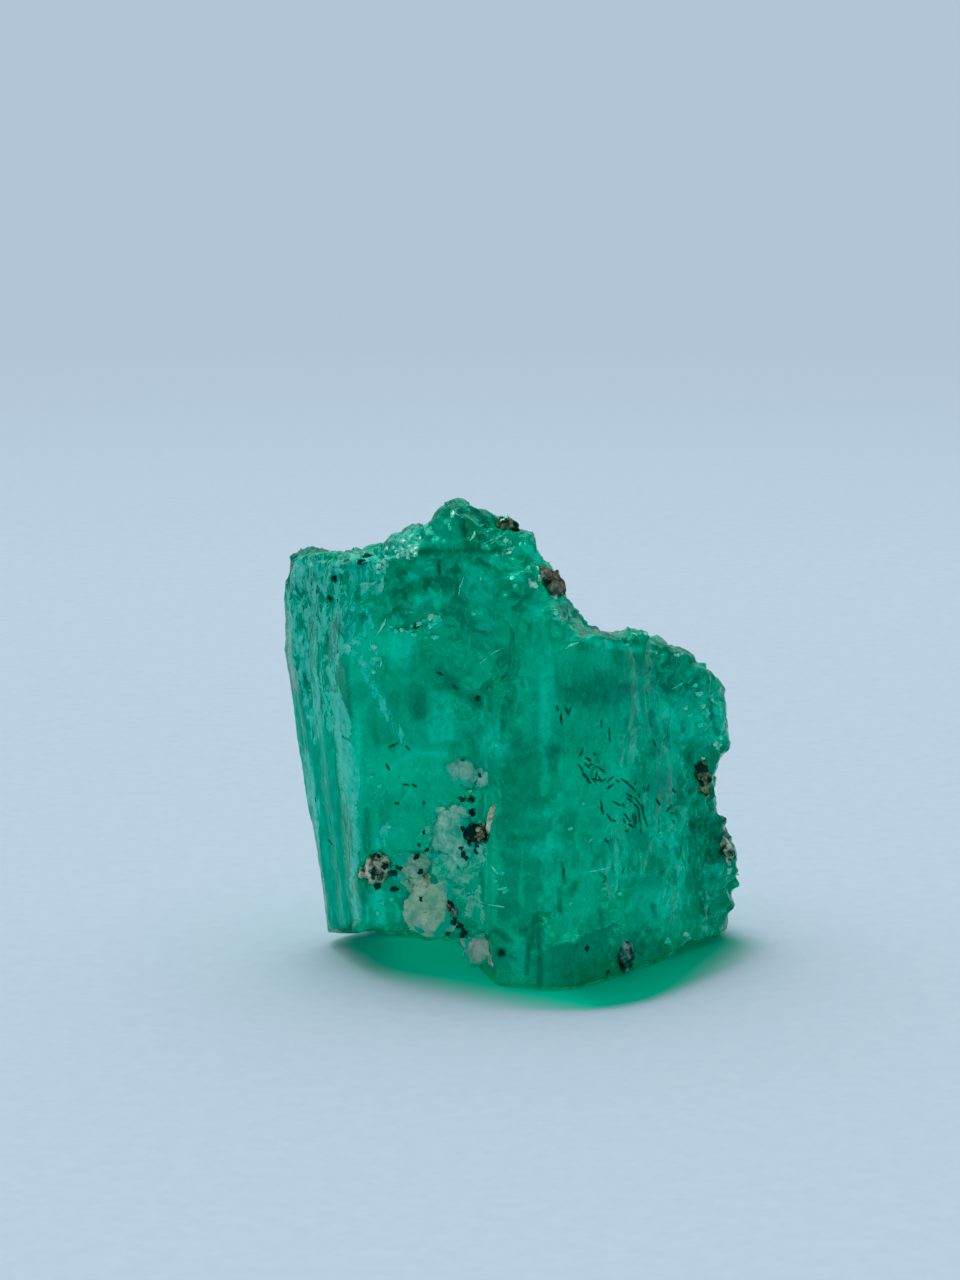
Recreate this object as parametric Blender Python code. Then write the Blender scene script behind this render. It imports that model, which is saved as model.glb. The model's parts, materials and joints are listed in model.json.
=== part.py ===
"""Raw emerald: a broken length of a six-sided beryl crystal with scraps of its host rock.

X runs to the right, Y to the back and Z up. Sizes are written in millimetres and turned
into metres at the very end. While it is being made, the crystal stands with the lowest
point of its front edge at the origin; the finished stone is centred over its footprint.
"""
import math

import bmesh
import bpy
from mathutils import Matrix, Vector, noise
from mathutils.bvhtree import BVHTree

MM = 0.001

# --- prism: plan outlines at three heights, clockwise from the front corner ------------
RING_HEIGHTS = (-0.6, 6.5, 11.0)
FOOT_RING = (
    (-1.12, 0.30), (-1.28, 0.78), (-1.95, 0.92), (-2.05, 1.02), (-2.95, 1.12), (-3.82, 1.28),
    (-3.98, 1.52), (-4.10, 1.98), (-4.26, 2.22), (-4.40, 2.86), (-4.60, 3.10), (-4.72, 3.95),
    (-3.35, 5.60), (-0.70, 7.25), (1.90, 7.05), (3.60, 5.90),
    (4.15, 4.10), (2.86, 2.62), (2.76, 2.44), (1.66, 1.16), (1.12, 0.50), (0.60, 0.02),
    (0.06, -0.18), (-0.55, 0.00),
)
MID_RING = (
    (-0.98, 0.26), (-1.30, 0.52), (-1.95, 0.82), (-2.05, 0.94), (-3.10, 1.06), (-4.22, 1.30),
    (-4.44, 1.52), (-4.66, 2.02), (-4.92, 2.26), (-5.16, 2.92), (-5.44, 3.14), (-5.72, 4.05),
    (-4.20, 5.80), (-1.30, 7.35), (1.30, 7.15), (3.20, 6.10),
    (4.15, 4.30), (2.64, 2.72), (2.54, 2.56), (1.66, 1.42), (1.16, 0.80), (0.68, 0.34),
    (0.14, 0.12), (-0.42, 0.10),
)
TOP_RING = (
    (-1.00, 0.44), (-1.34, 0.62), (-1.98, 0.88), (-2.08, 1.00), (-3.20, 1.16), (-4.34, 1.38),
    (-4.56, 1.60), (-4.72, 2.10), (-4.96, 2.34), (-5.14, 2.96), (-5.42, 3.18), (-5.66, 4.10),
    (-4.40, 5.80), (-1.60, 7.30), (1.00, 7.10), (2.90, 6.10),
    (3.95, 4.40), (2.48, 2.86), (2.38, 2.70), (1.50, 1.66), (1.02, 1.10), (0.58, 0.66),
    (0.10, 0.42), (-0.42, 0.34),
)
AXIS_LEAN = Vector((-0.07, 0.01, 1.0)).normalized()

# --- broken top: the crest as height over X, and where that crest lies in depth ---------
TOP_CREST = (
    (-5.90, 8.10), (-5.62, 8.35), (-5.29, 8.90), (-4.61, 8.98), (-4.32, 9.08), (-3.94, 9.12),
    (-3.56, 9.24), (-3.15, 9.50), (-2.77, 9.64), (-2.45, 9.82), (-2.05, 10.24), (-1.80, 10.36),
    (-1.35, 10.10), (-1.04, 9.88), (-0.53, 9.68), (-0.27, 9.40), (-0.18, 9.00), (0.20, 8.68),
    (0.34, 8.00), (0.56, 7.82), (0.80, 7.48), (1.05, 7.38), (1.49, 7.22), (1.98, 7.12),
    (2.49, 6.98), (2.74, 6.66), (3.10, 6.60), (3.36, 6.24), (3.63, 6.02), (3.85, 5.55),
    (4.60, 5.20),
)
CREST_DEPTH = ((-5.9, 2.8), (-4.0, 2.1), (-2.0, 1.6), (0.4, 1.8), (1.5, 2.4), (4.6, 4.5))
FRONT_FALL = (
    (-5.9, 0.20), (-3.2, 0.30), (-2.2, 0.95), (-0.8, 0.80), (0.4, 0.35), (1.1, -0.10), (4.6, -0.12),
)
BACK_FALL = ((-5.9, 0.22), (-3.0, 0.40), (-1.5, 0.60), (0.7, 0.55), (1.6, 0.30), (4.6, 0.22))
LEDGE_RISE = 0.62
LEDGE_SHARE = 0.70

# --- broken right end: X over height at its outermost depth -----------------------------
RIGHT_END = (
    (-0.6, 4.05), (0.25, 4.15), (0.75, 4.20), (1.10, 4.13), (1.66, 4.20), (2.19, 4.14),
    (2.53, 4.02), (2.80, 3.86), (3.16, 3.76), (3.75, 3.74), (4.13, 3.86), (4.36, 4.02),
    (4.69, 4.05), (5.12, 3.94), (5.63, 3.82), (6.20, 3.66), (7.5, 3.40),
)
RIGHT_END_DEPTH = 4.3
RIGHT_END_FALL = 0.38

# --- underside: lifted where the foot of the left front is broken away -------------------
FOOT_LIFT = 0.94
FOOT_LIFT_FROM_X = (-1.0, -2.2)
FOOT_LIFT_TO_Y = (0.9, 4.9)
UNDER_SETTLE = 0.10

# --- shell-like hollows broken out of the front and the edges: centre, half sizes ---------
HOLLOWS = (
    (Vector((-2.20, -1.14, 7.20)), Vector((2.00, 2.25, 2.50))),
    (Vector((-3.95, -0.45, 8.55)), Vector((1.60, 1.95, 1.10))),
    (Vector((-2.95, -0.75, 9.75)), Vector((1.70, 2.10, 0.90))),
    (Vector((0.35, -1.15, 8.60)), Vector((1.40, 1.85, 1.20))),
    (Vector((-0.30, -2.30, 5.10)), Vector((2.10, 2.42, 3.10))),
    (Vector((3.25, 1.60, 6.70)), Vector((0.72, 1.30, 0.58))),
    (Vector((-0.60, 8.65, 3.20)), Vector((2.90, 2.00, 3.00))),
    (Vector((4.10, 7.60, 5.20)), Vector((2.10, 2.10, 2.60))),
)
# Lumps grown onto the right end: centre, half sizes
LUMPS = (
    (Vector((3.12, 3.86, 5.08)), Vector((0.92, 0.76, 0.92))),
    (Vector((2.80, 3.36, 5.92)), Vector((0.80, 0.52, 0.50))),
    (Vector((3.36, 3.96, 1.70)), Vector((0.80, 0.62, 0.92))),
    (Vector((4.20, 4.22, 1.45)), Vector((0.19, 0.17, 0.17))),
)
LUMP_UNEVENNESS = 0.30
LUMP_FACETING = 2
HOLLOW_UNEVENNESS = 0.12
HOLLOW_FACETING = 4

# --- surface relief ----------------------------------------------------------------------
BREAK_CELL = 0.22
REMESH_CELL = 0.085
WORN_PASSES = 7
SWELL_HEIGHT = 0.10
HACKLE_HEIGHT = 0.14
STRIA_HEIGHT = 0.035
LEFT_FACE_GAIN = 0.9
CRYSTAL_TRIANGLES = 5400
CRUST_TRIANGLES = 250
GRAIN_TRIANGLES = 150

# --- scraps of host rock: name, place (X, Z), half sizes along the face and out, tilt ------
SEAT_GAP = 0.012
SCRAPS = (
    ("crust_sage_upper", (-2.02, 3.16), (0.52, 0.66, 0.11), 0.35, 11, "sage"),
    ("crust_sage_lower", (-2.52, 1.52), (0.60, 0.60, 0.12), -0.25, 23, "sage"),
    ("crust_tan_left", (-2.86, 2.42), (0.46, 0.30, 0.11), 0.20, 31, "tan"),
    ("crust_pink_foot", (-1.50, 0.66), (0.26, 0.40, 0.10), -0.60, 43, "pink"),
    ("crust_grey_centre", (-1.76, 4.52), (0.40, 0.27, 0.11), -0.55, 53, "grey"),
    ("grain_brown_left", (-3.66, 2.32), (0.27, 0.34, 0.24), -0.30, 61, "brown"),
    ("grain_dark_centre", (-1.50, 3.24), (0.29, 0.20, 0.17), 0.30, 71, "dark"),
    ("grain_grey_foot", (1.68, 0.42), (0.22, 0.28, 0.16), 0.10, 83, "grey"),
    ("grain_gold_top", (-0.86, 9.70), (0.24, 0.16, 0.16), -0.60, 97, "gold"),
    ("grain_brown_shoulder", (0.02, 8.56), (0.26, 0.36, 0.26), 0.45, 101, "brown"),
    ("grain_green_right", (3.38, 3.78), (0.20, 0.40, 0.18), 0.20, 113, "gold"),
    ("grain_brown_right", (3.96, 2.16), (0.15, 0.26, 0.15), -0.10, 127, "brown"),
)

# name: (red, green, blue), roughness
MATERIAL_VALUES = {
    "emerald": ((0.01, 0.24, 0.14), 0.22),
    "sage": ((0.30, 0.42, 0.33), 0.85),
    "tan": ((0.40, 0.36, 0.27), 0.85),
    "pink": ((0.42, 0.36, 0.34), 0.85),
    "grey": ((0.33, 0.36, 0.33), 0.80),
    "brown": ((0.26, 0.18, 0.12), 0.75),
    "dark": ((0.09, 0.05, 0.03), 0.70),
    "gold": ((0.34, 0.24, 0.10), 0.60),
}


def clear_scene():
    for item in list(bpy.data.objects):
        bpy.data.objects.remove(item, do_unlink=True)


def make_material(name):
    colour, roughness = MATERIAL_VALUES[name]
    material = bpy.data.materials.new(name)
    material.use_nodes = True
    shader = material.node_tree.nodes["Principled BSDF"]
    shader.inputs["Base Color"].default_value = (*colour, 1.0)
    shader.inputs["Roughness"].default_value = roughness
    shader.inputs["Metallic"].default_value = 0.0
    return material


def add_object(name, mesh_data):
    item = bpy.data.objects.new(name, mesh_data)
    bpy.context.scene.collection.objects.link(item)
    return item


def object_from_bmesh(name, shape):
    bmesh.ops.recalc_face_normals(shape, faces=shape.faces)
    if shape.calc_volume(signed=True) < 0.0:
        bmesh.ops.reverse_faces(shape, faces=shape.faces)
    mesh_data = bpy.data.meshes.new(name)
    shape.to_mesh(mesh_data)
    shape.free()
    return add_object(name, mesh_data)


def bake_modifiers(item):
    """Replace the object's mesh by the result of its modifiers."""
    scene_state = bpy.context.evaluated_depsgraph_get()
    scene_state.update()
    result = bpy.data.meshes.new_from_object(item.evaluated_get(scene_state))
    item.modifiers.clear()
    item.data = result


def combine(item, other, operation):
    """Boolean the other object into this one and remove the other."""
    step = item.modifiers.new("combine", "BOOLEAN")
    step.operation = operation
    step.solver = "EXACT"
    step.object = other
    bake_modifiers(item)
    bpy.data.objects.remove(other, do_unlink=True)


def along(points, value):
    """Straight-line reading of a profile given as (position, value) pairs."""
    if value <= points[0][0]:
        return points[0][1]
    for (start, first), (end, last) in zip(points, points[1:]):
        if value <= end:
            return first + (last - first) * (value - start) / (end - start)
    return points[-1][1]


def smooth_step(low, high, value):
    """Ease from 0 at low to 1 at high; low may be the larger of the two."""
    share = min(1.0, max(0.0, (value - low) / (high - low)))
    return share * share * (3.0 - 2.0 * share)


def lofted_prism():
    """The long faces of the crystal, with the growth ledges of its left side."""
    shape = bmesh.new()
    rings = []
    for height, outline in zip(RING_HEIGHTS, (FOOT_RING, MID_RING, TOP_RING)):
        rings.append([shape.verts.new((x, y, height)) for x, y in outline])
    count = len(FOOT_RING)
    for lower, upper in zip(rings, rings[1:]):
        for i in range(count):
            j = (i + 1) % count
            shape.faces.new((lower[i], lower[j], upper[j], upper[i]))
    shape.faces.new(rings[0])
    shape.faces.new(list(reversed(rings[-1])))
    bmesh.ops.triangulate(shape, faces=shape.faces)
    return object_from_bmesh("emerald_crystal", shape)


def break_block(first, second, place, far_side):
    """A block whose one side is a broken surface over a grid of two axes.

    first and second are (low, high) spans; place(a, b, depth) gives the point over the
    grid spot (a, b), and far_side is the depth of the block's plain side.
    """
    shape = bmesh.new()
    columns = round((first[1] - first[0]) / BREAK_CELL)
    rows = round((second[1] - second[0]) / BREAK_CELL)
    grid = []
    for i in range(columns + 1):
        a = first[0] + (first[1] - first[0]) * i / columns
        line = []
        for j in range(rows + 1):
            b = second[0] + (second[1] - second[0]) * j / rows
            line.append(shape.verts.new(place(a, b, None)))
        grid.append(line)
    for i in range(columns):
        for j in range(rows):
            shape.faces.new((grid[i][j], grid[i + 1][j], grid[i + 1][j + 1], grid[i][j + 1]))
    rim = [grid[i][0] for i in range(columns + 1)]
    rim += [grid[columns][j] for j in range(1, rows + 1)]
    rim += [grid[i][rows] for i in range(columns - 1, -1, -1)]
    rim += [grid[0][j] for j in range(rows - 1, 0, -1)]
    spots = [(first[0], second[0]), (first[1], second[0]), (first[1], second[1]), (first[0], second[1])]
    corners = [shape.verts.new(place(a, b, far_side)) for a, b in spots]
    shape.faces.new(corners)
    corner_index = (0, columns, columns + rows, 2 * columns + rows)
    for k in range(4):
        begin = corner_index[k]
        end = corner_index[(k + 1) % 4] if k < 3 else len(rim)
        side = [rim[n % len(rim)] for n in range(begin, end + 1)]
        shape.faces.new(side + [corners[(k + 1) % 4], corners[k]])
    bmesh.ops.triangulate(shape, faces=shape.faces)
    return object_from_bmesh("break_block", shape)


def stepped(height, rise, share):
    """Pull a height towards level ledges one rise apart."""
    level = height / rise
    base = math.floor(level)
    return height + share * rise * (base + smooth_step(0.30, 0.70, level - base) - level)


def top_height(x, y):
    """Height of the broken top: a crest that falls away to the front and in ledges behind."""
    crest_y = along(CREST_DEPTH, x)
    if y < crest_y:
        return along(TOP_CREST, x) - along(FRONT_FALL, x) * (crest_y - y)
    behind = y - crest_y
    aside = 1.5 * noise.noise(Vector((x * 0.25, y * 0.55, 6.1))) * smooth_step(0.3, 1.8, behind)
    height = along(TOP_CREST, x + aside)
    height -= along(BACK_FALL, x + aside) * behind
    height += 0.9 * noise.noise(Vector((x * 0.45, y * 0.45, 3.7))) * smooth_step(0.2, 2.0, behind)
    return stepped(height, LEDGE_RISE, LEDGE_SHARE * smooth_step(0.1, 1.0, behind))


def right_end_x(y, z):
    """How far right the broken end reaches."""
    away = abs(y - RIGHT_END_DEPTH)
    ripple = 0.22 * noise.noise(Vector((y * 0.9, z * 0.7, 9.1))) * smooth_step(0.3, 1.5, away)
    return along(RIGHT_END, z) - RIGHT_END_FALL * away * smooth_step(0.0, 0.8, away) + ripple


def under_height(x, y):
    """Height of the underside: a flat rest with an uneven rim, lifted at the left front."""
    lift = FOOT_LIFT * smooth_step(-FOOT_LIFT_FROM_X[0], -FOOT_LIFT_FROM_X[1], -x)
    lift *= 1.0 - smooth_step(FOOT_LIFT_TO_Y[0], FOOT_LIFT_TO_Y[1], y)
    rim = 0.20 * smooth_step(2.4, 3.8, (Vector((x, y)) - Vector((-0.2, 2.8))).length)
    uneven = 0.16 * noise.noise(Vector((x * 0.8, y * 0.8, 5.2)))
    return lift + rim + uneven - UNDER_SETTLE


def top_point(x, y, depth):
    return (x, y, top_height(x, y) if depth is None else depth)


def right_point(y, z, depth):
    return (right_end_x(y, z) if depth is None else depth, y, z)


def under_point(x, y, depth):
    return (x, y, under_height(x, y) if depth is None else depth)


def break_the_ends(crystal):
    combine(crystal, break_block((-7.0, 6.0), (-2.0, 9.0), top_point, 13.0), "DIFFERENCE")
    combine(crystal, break_block((-2.0, 9.0), (-2.0, 12.0), right_point, 7.0), "DIFFERENCE")
    combine(crystal, break_block((-7.0, 6.0), (-2.0, 9.0), under_point, -2.0), "DIFFERENCE")


def uneven_ellipsoid(name, centre, half_sizes, unevenness, faceting):
    shape = bmesh.new()
    bmesh.ops.create_icosphere(shape, subdivisions=faceting, radius=1.0)
    for vertex in shape.verts:
        unit = vertex.co.copy()
        swing = 1.0 + unevenness * noise.noise(unit * 1.7 + centre)
        vertex.co = centre + Vector([unit[k] * half_sizes[k] * swing for k in range(3)])
    return object_from_bmesh(name, shape)


def carve_and_grow(crystal):
    for centre, half_sizes in LUMPS:
        lump = uneven_ellipsoid("lump", centre, half_sizes, LUMP_UNEVENNESS, LUMP_FACETING)
        combine(crystal, lump, "UNION")
    for centre, half_sizes in HOLLOWS:
        hollow = uneven_ellipsoid("hollow", centre, half_sizes, HOLLOW_UNEVENNESS, HOLLOW_FACETING)
        combine(crystal, hollow, "DIFFERENCE")


def remesh_evenly(item):
    step = item.modifiers.new("remesh", "REMESH")
    step.mode = "VOXEL"
    step.voxel_size = REMESH_CELL
    bake_modifiers(item)


def wear_edges(item):
    """Round the edges here and there, as knocks and handling do."""
    shape = bmesh.new()
    shape.from_mesh(item.data)
    worn = [v for v in shape.verts if noise.noise(v.co * 0.9 + Vector((4.0, 0.0, 0.0))) > -0.05]
    for _ in range(WORN_PASSES):
        bmesh.ops.smooth_vert(shape, verts=worn, factor=0.5, use_axis_x=True, use_axis_y=True, use_axis_z=True)
    shape.to_mesh(item.data)
    shape.free()


def swell(point):
    """Slow rise and fall over the whole stone, about -1 to 1."""
    return 0.7 * noise.noise(point * 0.42) + 0.5 * noise.noise(point * 1.1 + Vector((0.0, 0.0, 8.0)))


def hackle(point):
    """Sharp-crested roughness of a broken surface, about -1 to 1."""
    broad = noise.ridged_multi_fractal(point * 0.55, 0.9, 2.1, 3, 1.0, 2.0, noise_basis="PERLIN_ORIGINAL")
    fine = noise.noise(point * 2.3)
    return 0.55 * (broad - 1.0) + 0.45 * fine


def striation(point):
    """Fine ridges that run along the crystal's axis, about -1 to 1."""
    across = point - AXIS_LEAN * (point.z / AXIS_LEAN.z)
    place = Vector((across.x, across.y, point.z * 0.06))
    return 0.6 * noise.noise(place * 2.6) + 0.4 * noise.noise(place * 6.0)


def roughen(item):
    shape = bmesh.new()
    shape.from_mesh(item.data)
    shape.normal_update()
    moves = []
    for vertex in shape.verts:
        normal = vertex.normal
        point = vertex.co
        broken = smooth_step(0.22, 0.50, abs(normal.dot(AXIS_LEAN)))
        upper_front = smooth_step(6.4, 8.2, point.z) * smooth_step(2.4, 1.2, point.y)
        broken = max(broken, 0.6 * upper_front)
        left_face = smooth_step(0.5, 0.8, -normal.x)
        relief = SWELL_HEIGHT * (1.0 - 0.7 * left_face) * swell(point)
        relief += HACKLE_HEIGHT * broken * hackle(point)
        relief += STRIA_HEIGHT * (1.0 + left_face * LEFT_FACE_GAIN) * (1.0 - broken) * striation(point)
        above_foot = smooth_step(0.0, 0.2, point.z)
        moves.append(normal * relief * above_foot)
    for vertex, move in zip(shape.verts, moves):
        vertex.co += move
    shape.to_mesh(item.data)
    shape.free()


def thin_out(item, triangles):
    """Merge the flattest parts of the mesh until about this many triangles are left."""
    present = sum(len(face.vertices) - 2 for face in item.data.polygons)
    step = item.modifiers.new("thin_out", "DECIMATE")
    step.ratio = triangles / present
    step.use_collapse_triangulate = True
    bake_modifiers(item)


def flatten_rest(item):
    """Cut the lowest sliver away so the stone stands on one flat facet at height zero."""
    shape = bmesh.new()
    shape.from_mesh(item.data)
    geometry = list(shape.verts) + list(shape.edges) + list(shape.faces)
    cut = bmesh.ops.bisect_plane(
        shape, geom=geometry, dist=0.0001, plane_co=(0, 0, 0), plane_no=(0, 0, -1), clear_outer=True
    )
    edges = [piece for piece in cut["geom_cut"] if isinstance(piece, bmesh.types.BMEdge)]
    bmesh.ops.holes_fill(shape, edges=edges, sides=0)
    bmesh.ops.triangulate(shape, faces=shape.faces)
    bmesh.ops.recalc_face_normals(shape, faces=shape.faces)
    shape.to_mesh(item.data)
    shape.free()


def scrap_mesh(name, seat, normal, half_sizes, turn, seed):
    """A lumpy scrap lying in the surface at its seat."""
    up = Vector((0.0, 0.0, 1.0))
    side = up.cross(normal).normalized()
    rise = normal.cross(side).normalized()
    across = side * math.cos(turn) + rise * math.sin(turn)
    upward = rise * math.cos(turn) - side * math.sin(turn)
    shape = bmesh.new()
    bmesh.ops.create_icosphere(shape, subdivisions=4, radius=1.0)
    for vertex in shape.verts:
        unit = vertex.co.copy()
        spread = 1.0 + 0.50 * noise.noise(unit * 1.8 + Vector((seed, 0.0, 0.0)))
        spread += 0.16 * noise.noise(unit * 4.2 + Vector((0.0, seed, 0.0)))
        thickness = 1.0 + 0.30 * noise.noise(unit * 2.4 + Vector((0.0, 0.0, seed)))
        sideways = across * (unit.x * half_sizes[0]) + upward * (unit.y * half_sizes[1])
        vertex.co = seat + sideways * spread + normal * (unit.z * half_sizes[2] * thickness)
    return object_from_bmesh(name, shape)


def pocket_for(scrap):
    """The scrap's own shape grown by the seat gap."""
    shape = bmesh.new()
    shape.from_mesh(scrap.data)
    shape.normal_update()
    moves = [vertex.normal * SEAT_GAP for vertex in shape.verts]
    for vertex, move in zip(shape.verts, moves):
        vertex.co += move
    return object_from_bmesh("pocket", shape)


def seat_scraps(crystal):
    """Sink each scrap of host rock into the front of the crystal."""
    surface = BVHTree.FromObject(crystal, bpy.context.evaluated_depsgraph_get())
    scraps = []
    for name, (x, z), half_sizes, turn, seed, material_name in SCRAPS:
        seat, normal, _, _ = surface.ray_cast(Vector((x, -10.0, z)), Vector((0.0, 1.0, 0.0)))
        if seat is None:
            seat, normal, _, _ = surface.find_nearest(Vector((x, 3.0, z)))
        scrap = scrap_mesh(name, seat, normal, half_sizes, turn, seed)
        thin_out(scrap, CRUST_TRIANGLES if name.startswith("crust") else GRAIN_TRIANGLES)
        scrap.data.materials.append(make_material(material_name))
        combine(crystal, pocket_for(scrap), "DIFFERENCE")
        scraps.append(scrap)
    return scraps


def centre_and_scale(items):
    """Centre the stone over its footprint and turn millimetres into metres."""
    crystal = items[0]
    xs = [vertex.co.x for item in items for vertex in item.data.vertices]
    ys = [vertex.co.y for item in items for vertex in item.data.vertices]
    zs = [vertex.co.z for vertex in crystal.data.vertices]
    centre = Vector(((min(xs) + max(xs)) / 2.0, (min(ys) + max(ys)) / 2.0, min(zs)))
    for item in items:
        item.data.transform(Matrix.Scale(MM, 4) @ Matrix.Translation(-centre))


def build():
    clear_scene()
    crystal = lofted_prism()
    break_the_ends(crystal)
    carve_and_grow(crystal)
    remesh_evenly(crystal)
    wear_edges(crystal)
    roughen(crystal)
    thin_out(crystal, CRYSTAL_TRIANGLES)
    flatten_rest(crystal)
    crystal.data.materials.clear()
    crystal.data.materials.append(make_material("emerald"))
    scraps = seat_scraps(crystal)
    centre_and_scale([crystal] + scraps)


build()
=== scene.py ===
"""Looks of the raw emerald: fine crystal relief, cloudy green body, crusts and specks.

Sizes and places are in millimetres in the row frame (X right, Y back, Z up) unless a
name says metres. Every piece rides on the one body, "root".
"""
import json
import math

import bmesh
import bpy
from mathutils import Matrix, Vector, noise
from mathutils.bvhtree import BVHTree


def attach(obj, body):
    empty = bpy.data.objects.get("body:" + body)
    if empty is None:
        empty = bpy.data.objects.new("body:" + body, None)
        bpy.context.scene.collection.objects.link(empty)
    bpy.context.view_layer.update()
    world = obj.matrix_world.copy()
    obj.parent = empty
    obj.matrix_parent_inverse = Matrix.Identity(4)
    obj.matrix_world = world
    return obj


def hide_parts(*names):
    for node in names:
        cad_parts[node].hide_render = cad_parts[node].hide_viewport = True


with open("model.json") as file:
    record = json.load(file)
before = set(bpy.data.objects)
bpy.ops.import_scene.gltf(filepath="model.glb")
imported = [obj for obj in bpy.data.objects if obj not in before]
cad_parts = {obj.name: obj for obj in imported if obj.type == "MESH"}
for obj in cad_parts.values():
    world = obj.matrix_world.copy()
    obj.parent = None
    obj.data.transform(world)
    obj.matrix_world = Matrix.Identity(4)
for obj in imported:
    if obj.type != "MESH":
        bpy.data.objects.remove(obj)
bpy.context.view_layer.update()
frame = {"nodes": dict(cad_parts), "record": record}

MM = 0.001
BODY = "root"

# --- crystal relief
NOISE_SEED = 10
CRYSTAL_CELL = 0.066
AXIS_LEAN = Vector((-0.07, 0.01, 1.0)).normalized()
SMOOTH_PASSES = 2
FINE_STRIA = 0.004
LEFT_STRIA = 0.008
FLAKE_HEIGHT = 0.016
# flat cells of the broken surfaces: cells per millimetre, how far they lean, how far they step
BROAD_FACETS = (1.15, 0.32, 0.090)
SMALL_FACETS = (2.4, 0.60, 0.045)
TINY_FACETS = (4.8, 0.38, 0.016)
FACE_FACETS = (0.55, 0.05, 0.05)
SKIN_GRAIN = 0.006
# the relief fades out over this height, so that the foot stays flat
FOOT_CALM = 0.12

# --- camera: one lens, row frame in millimetres
FRAMING = (960, 1280)
CAMERA_PLACE = Vector((-0.755, -88.572, 24.059))
CAMERA_PITCH = math.radians(11.0)
CAMERA_LENS = 117.0
SENSOR = 36.0
FOCAL = CAMERA_LENS / SENSOR * FRAMING[1]
OUTLINE_EDGE = 3.0

# --- marks on the stone, each set on the surface under a spot of the framing
# Each kind of mark is drawn with closed outlines (corners), soft blots (centre, half sizes)
# and strokes (line, half width), all in pixels of the framing.
FILM = (
    (
        ((284, 565), (300, 553), (332, 556), (345, 551), (362, 547), (385, 543), (400, 530), (420, 527),
         (424, 535), (420, 556), (398, 560), (388, 566), (385, 590), (378, 596), (362, 596), (352, 600),
         (366, 606), (377, 622), (372, 640), (380, 655), (378, 668), (372, 676), (360, 670), (352, 660),
         (344, 655), (336, 668), (340, 690), (350, 712), (353, 735), (335, 742), (324, 728), (314, 750),
         (304, 715), (298, 690), (292, 660), (286, 630)),
        ((298, 740), (308, 748), (318, 800), (322, 850), (315, 850), (306, 800)),
        ((364, 838), (376, 828), (388, 820), (395, 832), (390, 846), (382, 850), (374, 858), (366, 850)),
    ),
    (((430, 532), (8, 8)), ((412, 612), (10, 5))),
    (
        (((364, 668), (380, 700), (402, 738)), 6.0), (((301, 566), (296, 620), (292, 660)), 7.0),
        (((309, 640), (312, 690), (318, 730)), 7.0), (((326, 680), (330, 700), (334, 712)), 5.0),
    ),
)
BAND = (
    (
        ((333, 735), (345, 737), (353, 745), (361, 762), (361, 792), (358, 802), (361, 832), (360, 862),
         (355, 882), (352, 896), (348, 886), (350, 868), (352, 850), (350, 820), (345, 800), (340, 781),
         (336, 760)),
        ((322, 690), (338, 690), (350, 715), (354, 736), (345, 740), (332, 737), (334, 720), (328, 705)),
    ),
    (),
    ((((352, 900), (357, 915)), 2.5),),
)
TEAL = (
    (((292, 690), (316, 700), (330, 745), (340, 800), (343, 860), (350, 926), (330, 930), (318, 905),
      (306, 835), (298, 760)),),
    (), (),
)
# frosted rim, partly a painted highlight along the top edges
FROST_RIM_AND_HIGHLIGHTS = (
    (
        ((400, 535), (412, 531), (421, 540), (419, 553), (412, 559), (390, 558), (383, 550), (393, 547)),
        ((376, 553), (387, 549), (393, 558), (386, 562), (387, 574), (380, 572), (375, 562)),
        ((370, 640), (376, 641), (381, 655), (381, 668), (376, 672), (372, 652)),
    ),
    (
        ((380, 586), (4, 12)), ((366, 584), (10, 5)), ((364, 660), (7, 9)), ((348, 648), (6, 9)),
        ((300, 566), (10, 7)), ((322, 561), (10, 3)), ((480, 855), (5, 20)), ((470, 903), (6, 16)),
        ((478, 936), (4, 12)), ((388, 830), (7, 8)), ((530, 582), (8, 6)), ((508, 545), (8, 10)),
    ),
    (
        (((618, 636), (640, 637), (652, 635), (662, 641)), 2.6), (((646, 650), (656, 652), (666, 656)), 2.6),
        (((676, 655), (686, 652), (694, 656)), 2.8), (((728, 866), (726, 880), (729, 900)), 2.2),
    ),
)
SAGE = (
    (
        ((421, 806), (432, 811), (437, 806), (448, 804), (464, 803), (472, 806), (474, 814), (468, 822),
         (463, 828), (465, 840), (476, 846), (485, 842), (489, 850), (487, 864), (478, 877), (467, 885),
         (470, 898), (462, 902), (450, 900), (440, 884), (432, 872), (430, 860), (422, 852), (424, 842),
         (418, 834), (426, 824)),
        ((480, 880), (474, 892), (482, 930), (490, 940), (484, 900)),
    ),
    (((470, 905), (8, 18)),),
    (),
)
CREAM = (
    (
        ((411, 884), (422, 880), (432, 884), (441, 893), (452, 896), (457, 907), (458, 920), (450, 931),
         (438, 939), (424, 938), (410, 930), (404, 920), (401, 908), (407, 898)),
        ((393, 862), (404, 854), (416, 858), (424, 866), (433, 877), (431, 885), (418, 886), (408, 892),
         (399, 882), (393, 875)),
    ),
    (((450, 812), (12, 7)),),
    (),
)
PINK = (
    (((458, 933), (464, 934), (473, 936), (483, 944), (491, 954), (496, 969), (490, 966), (478, 959),
      (466, 953), (460, 945)),),
    (), (),
)
GREY = (
    (
        ((448, 768), (456, 757), (464, 754), (472, 760), (475, 768), (470, 777), (460, 776), (452, 777)),
        ((466, 779), (474, 768), (482, 766), (489, 772), (489, 785), (482, 789), (470, 787)),
    ),
    (), (),
)
UMBER = (
    (((466, 512), (473, 506), (482, 509), (488, 517), (484, 527), (475, 528), (469, 522)),),
    (
        ((494, 516), (6, 8)), ((520, 530), (8, 6)), ((705, 776), (7, 14)),
        ((726, 846), (7, 20)), ((626, 955), (12, 8)),
    ),
    (),
)
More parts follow.
